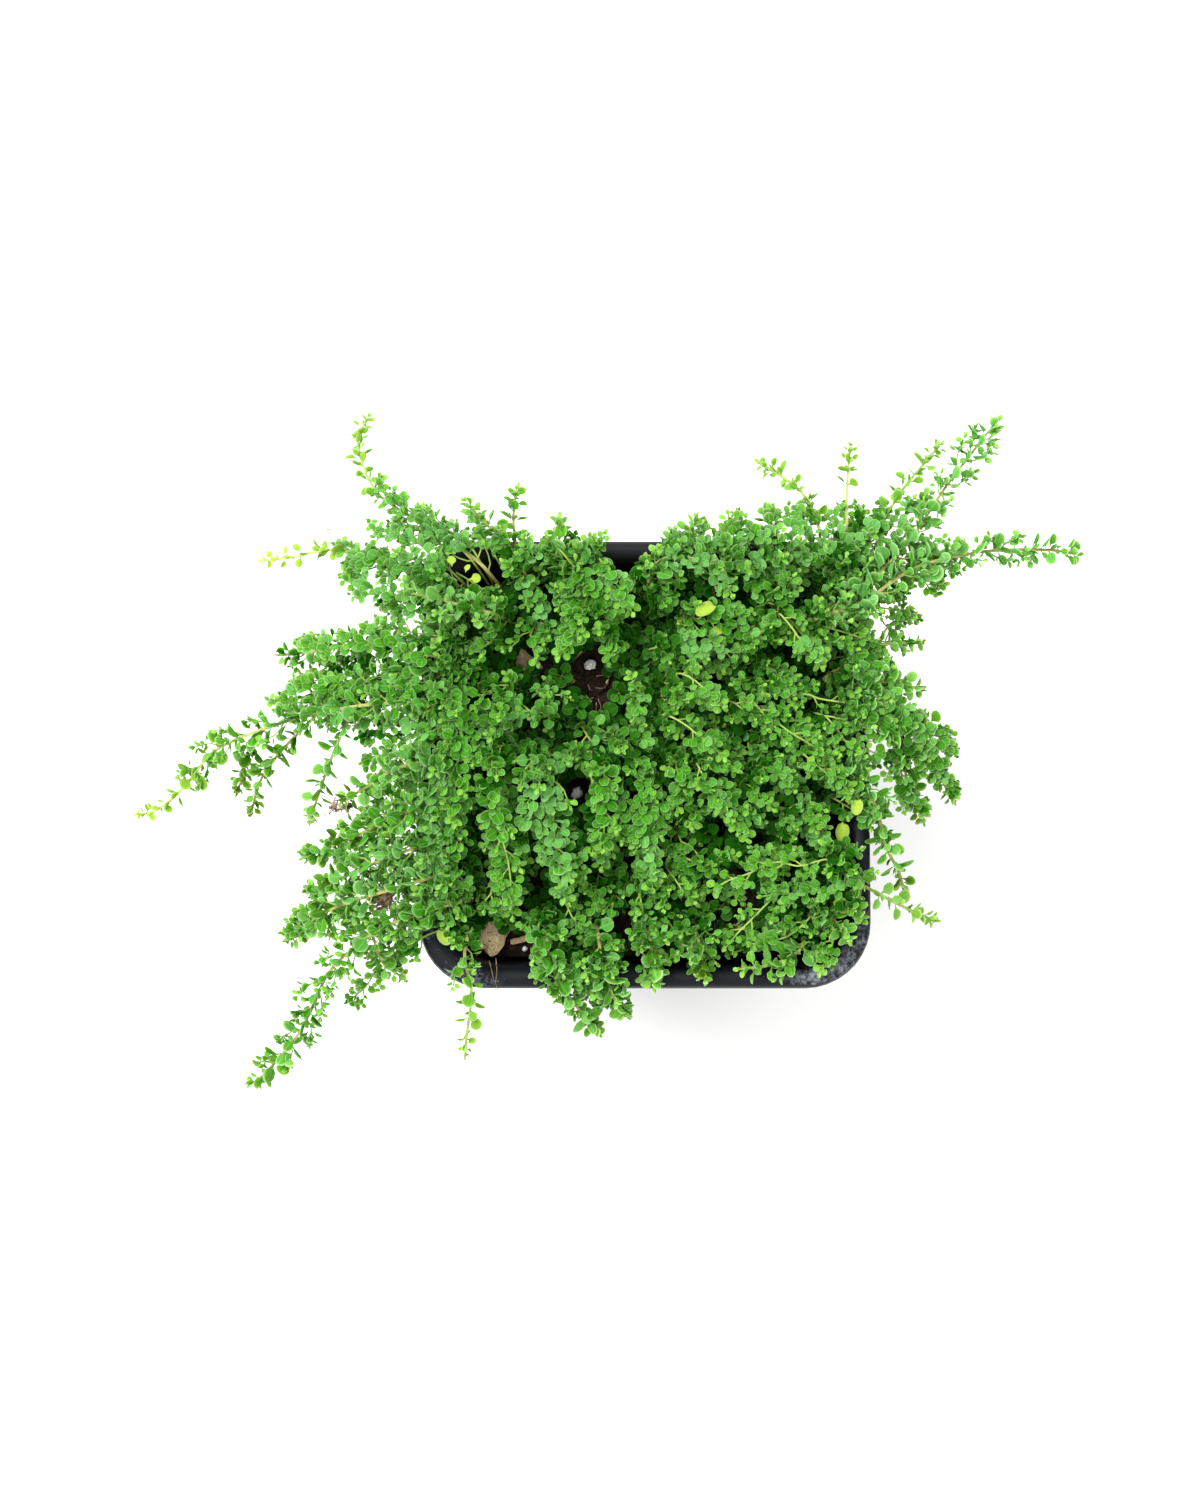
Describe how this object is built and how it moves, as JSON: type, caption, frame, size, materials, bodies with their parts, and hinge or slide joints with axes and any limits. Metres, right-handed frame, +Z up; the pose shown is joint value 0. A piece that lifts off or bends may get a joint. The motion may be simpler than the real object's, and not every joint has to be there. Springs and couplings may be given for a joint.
{
  "type": "potted thyme",
  "caption": "Creeping thyme in a square black nursery pot: a mat of stems with tiny round leaves that trail over the rim on every side.",
  "frame": {"origin": "on the surface that the pot stands on, under the middle of the pot's flat base", "axes": "+Z up, +X to the right and +Y to the back, as the plant is seen from above, with the longest stems to the left"},
  "size_m": [0.2156, 0.1563, 0.1023],
  "materials": {
    "black_plastic": "satin",
    "potting_soil": "matte",
    "perlite": "matte",
    "bark": "matte",
    "thyme": "matte"
  },
  "bodies": {
    "root": {"pot": "black_plastic", "soil": "potting_soil", "perlite_grain_middle": "perlite", "perlite_grain_front": "perlite", "bark_chip_front_left": "bark", "bark_chip_left": "bark", "thyme_left_upper": "thyme", "thyme_left_middle": "thyme", "thyme_left_long": "thyme", "thyme_left_short": "thyme", "thyme_left_low": "thyme", "thyme_left_low_second": "thyme", "thyme_left_low_third": "thyme", "thyme_front_left_long": "thyme", "thyme_back_left_pale": "thyme", "thyme_back_left_long": "thyme", "thyme_back_left_upright": "thyme", "thyme_back_left_inner": "thyme", "thyme_back_middle_left": "thyme", "thyme_back_middle": "thyme", "thyme_back_right_inner": "thyme", "thyme_back_right": "thyme", "thyme_back_right_pale": "thyme", "thyme_back_right_upright": "thyme", "thyme_back_right_corner": "thyme", "thyme_back_right_long": "thyme", "thyme_right_long": "thyme", "thyme_right_small": "thyme", "thyme_right_branched": "thyme", "thyme_right_back": "thyme", "thyme_right_low": "thyme", "thyme_right_front_pale": "thyme", "thyme_front_left_pale": "thyme", "thyme_front_left": "thyme", "thyme_front_middle": "thyme", "thyme_front_middle_right": "thyme", "thyme_front_right_inner": "thyme", "thyme_front_right_along": "thyme", "thyme_front_right_corner": "thyme", "thyme_front_right_low": "thyme", "thyme_mat_back_left": "thyme", "thyme_mat_back": "thyme", "thyme_mat_back_middle": "thyme", "thyme_mat_back_right": "thyme", "thyme_mat_right_upper": "thyme", "thyme_mat_right_inner": "thyme", "thyme_mat_right_middle": "thyme", "thyme_mat_right_trail": "thyme", "thyme_mat_right_edge": "thyme", "thyme_mat_right_low": "thyme", "thyme_mat_front_right_upper": "thyme", "thyme_mat_front_right": "thyme", "thyme_mat_front_upper": "thyme", "thyme_mat_front": "thyme", "thyme_mat_front_low": "thyme", "thyme_mat_front_left": "thyme", "thyme_mat_front_left_low": "thyme", "thyme_mat_right_front": "thyme", "thyme_mat_left": "thyme", "thyme_mat_front_middle": "thyme"}
  },
  "joints": []
}
